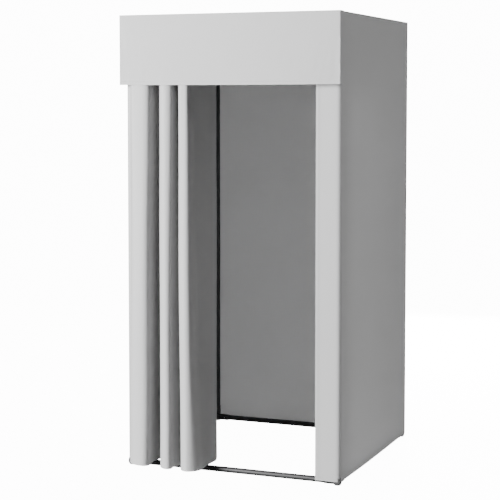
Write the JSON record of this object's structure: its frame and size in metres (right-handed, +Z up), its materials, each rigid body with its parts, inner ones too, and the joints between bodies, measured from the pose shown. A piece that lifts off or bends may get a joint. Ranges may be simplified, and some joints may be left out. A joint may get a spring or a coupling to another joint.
{
  "type": "portable fitting room booth",
  "caption": "Free-standing changing booth: round tube frame in corner sockets, cloth walls and roof, front valance, and a ring-hung curtain that draws across the doorway.",
  "frame": {"origin": "on the floor, under the middle of the whole booth's box", "axes": "+Z up along the booth's height, +X to the right seen from the doorway side, -Y the front with the doorway and curtain"},
  "size_m": [1.02, 1.1316, 2],
  "materials": {
    "cover_cloth": "satin-faced silver-grey polyester",
    "curtain_cloth": "satin-faced silver-grey polyester, softly folded",
    "black_tube": "semi-gloss black powder coat",
    "corner_plastic": "fine-grained moulded nylon",
    "rubber_feet": "matt",
    "ring_steel": "polished",
    "ferrule_steel": "zinc plated",
    "screw_steel": "zinc plated"
  },
  "bodies": {
    "frame": {"curtain_rod": "black_tube", "ferrule_back_left": "ferrule_steel", "ferrule_back_right": "ferrule_steel", "ferrule_front_left": "ferrule_steel", "ferrule_front_right": "ferrule_steel", "foot_back_left": "rubber_feet", "foot_back_right": "rubber_feet", "foot_front_left": "rubber_feet", "foot_front_right": "rubber_feet", "header_cap_left": "corner_plastic", "header_cap_right": "corner_plastic", "header_tube": "black_tube", "post_lower_back_left": "black_tube", "post_lower_back_right": "black_tube", "post_lower_front_left": "black_tube", "post_lower_front_right": "black_tube", "post_upper_back_left": "black_tube", "post_upper_back_right": "black_tube", "post_upper_front_left": "black_tube", "post_upper_front_right": "black_tube", "rail_bottom_back": "black_tube", "rail_bottom_front": "black_tube", "rail_bottom_left": "black_tube", "rail_bottom_right": "black_tube", "rail_top_back": "black_tube", "rail_top_front": "black_tube", "rail_top_left": "black_tube", "rail_top_right": "black_tube", "return_left": "cover_cloth", "return_right": "cover_cloth", "ring_0": "ring_steel", "roof": "cover_cloth", "set_screws": "screw_steel", "socket_bottom_back_left": "corner_plastic", "socket_bottom_back_right": "corner_plastic", "socket_bottom_front_left": "corner_plastic", "socket_bottom_front_right": "corner_plastic", "socket_top_back_left": "corner_plastic", "socket_top_back_right": "corner_plastic", "socket_top_front_left": "corner_plastic", "socket_top_front_right": "corner_plastic", "wall_back": "cover_cloth", "wall_left": "cover_cloth", "wall_right": "cover_cloth"},
    "curtain_glide_1": {"ring_1": "ring_steel", "curtain_front_1": "curtain_cloth"},
    "curtain_glide_2": {"ring_2": "ring_steel", "curtain_back_1": "curtain_cloth"},
    "curtain_glide_3": {"ring_3": "ring_steel", "curtain_front_2": "curtain_cloth"},
    "curtain_glide_4": {"ring_4": "ring_steel", "curtain_back_2": "curtain_cloth"},
    "curtain_lead": {"ring_5": "ring_steel", "curtain_front_3": "curtain_cloth", "curtain_flap": "curtain_cloth"},
    "valance": {"valance_front": "cover_cloth", "valance_cheek_left": "cover_cloth", "valance_cheek_right": "cover_cloth"}
  },
  "joints": [
    {"name": "curtain_draw", "type": "slide", "parent": "frame", "child": "curtain_lead", "axis": [1, 0, 0], "range_m": [0, 0.5]},
    {"name": "ring_glide_1", "type": "slide", "parent": "frame", "child": "curtain_glide_1", "axis": [1, 0, 0], "range_m": [0, 0.1134]},
    {"name": "ring_glide_2", "type": "slide", "parent": "frame", "child": "curtain_glide_2", "axis": [1, 0, 0], "range_m": [0, 0.2321]},
    {"name": "ring_glide_3", "type": "slide", "parent": "frame", "child": "curtain_glide_3", "axis": [1, 0, 0], "range_m": [0, 0.409]},
    {"name": "ring_glide_4", "type": "slide", "parent": "frame", "child": "curtain_glide_4", "axis": [1, 0, 0], "range_m": [0, 0.4588]},
    {"name": "valance_lift", "type": "hinge", "parent": "frame", "child": "valance", "pos_m": [0, -0.4805, 1.999], "axis": [-1, 0, 0], "range_deg": [0, 90]}
  ],
  "couplings": [
    {"joint": "ring_glide_1", "follows": "curtain_draw", "ratio": 0.22665},
    {"joint": "ring_glide_2", "follows": "curtain_draw", "ratio": 0.4641},
    {"joint": "ring_glide_3", "follows": "curtain_draw", "ratio": 0.81775},
    {"joint": "ring_glide_4", "follows": "curtain_draw", "ratio": 0.91741}
  ]
}
